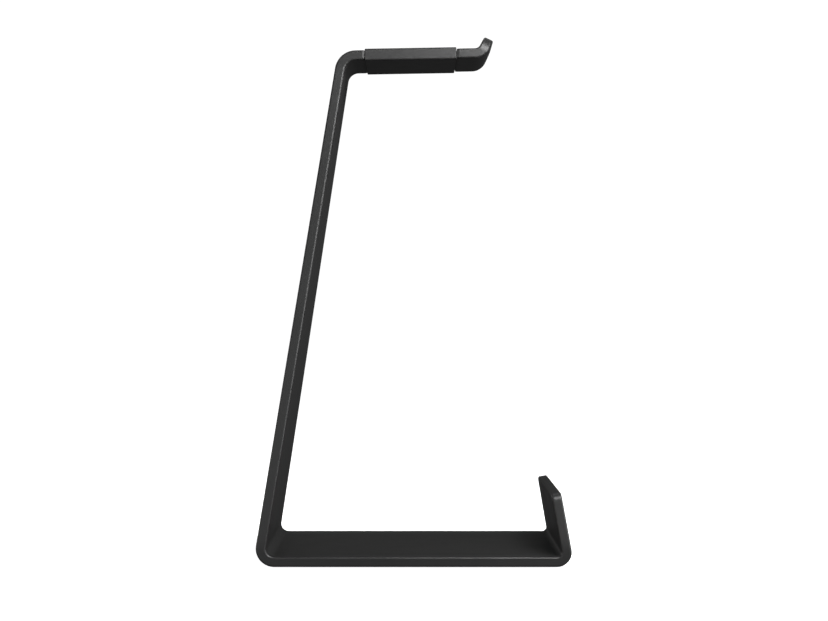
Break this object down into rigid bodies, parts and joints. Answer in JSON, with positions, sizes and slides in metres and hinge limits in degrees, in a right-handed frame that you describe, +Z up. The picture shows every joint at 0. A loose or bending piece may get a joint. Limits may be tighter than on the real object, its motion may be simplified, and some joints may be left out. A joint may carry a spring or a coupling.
{
  "type": "headphone stand",
  "caption": "Tabletop headphone stand: one flat bar tapered and bent into base, leaning upright and arm with up-turned tip, with a soft sleeve on the arm and rubber feet.",
  "frame": {"origin": "on the floor under the middle of the base", "axes": "+X from the upright towards the front lip, +Y across the bar, +Z up"},
  "size_m": [0.1544, 0.082, 0.2647],
  "materials": {
    "black_metal": "fine satin black anodised",
    "sleeve_rubber": "matt moulded black silicone",
    "foot_rubber": "matt black moulded rubber",
    "adhesive_film": "translucent acrylic adhesive film"
  },
  "bodies": {
    "root": {"frame": "black_metal", "arm_sleeve": "sleeve_rubber", "foot_front_left": "foot_rubber", "foot_front_right": "foot_rubber", "foot_rear_left": "foot_rubber", "foot_rear_right": "foot_rubber", "foot_adhesive_front_left": "adhesive_film", "foot_adhesive_front_right": "adhesive_film", "foot_adhesive_rear_left": "adhesive_film", "foot_adhesive_rear_right": "adhesive_film"}
  },
  "joints": []
}
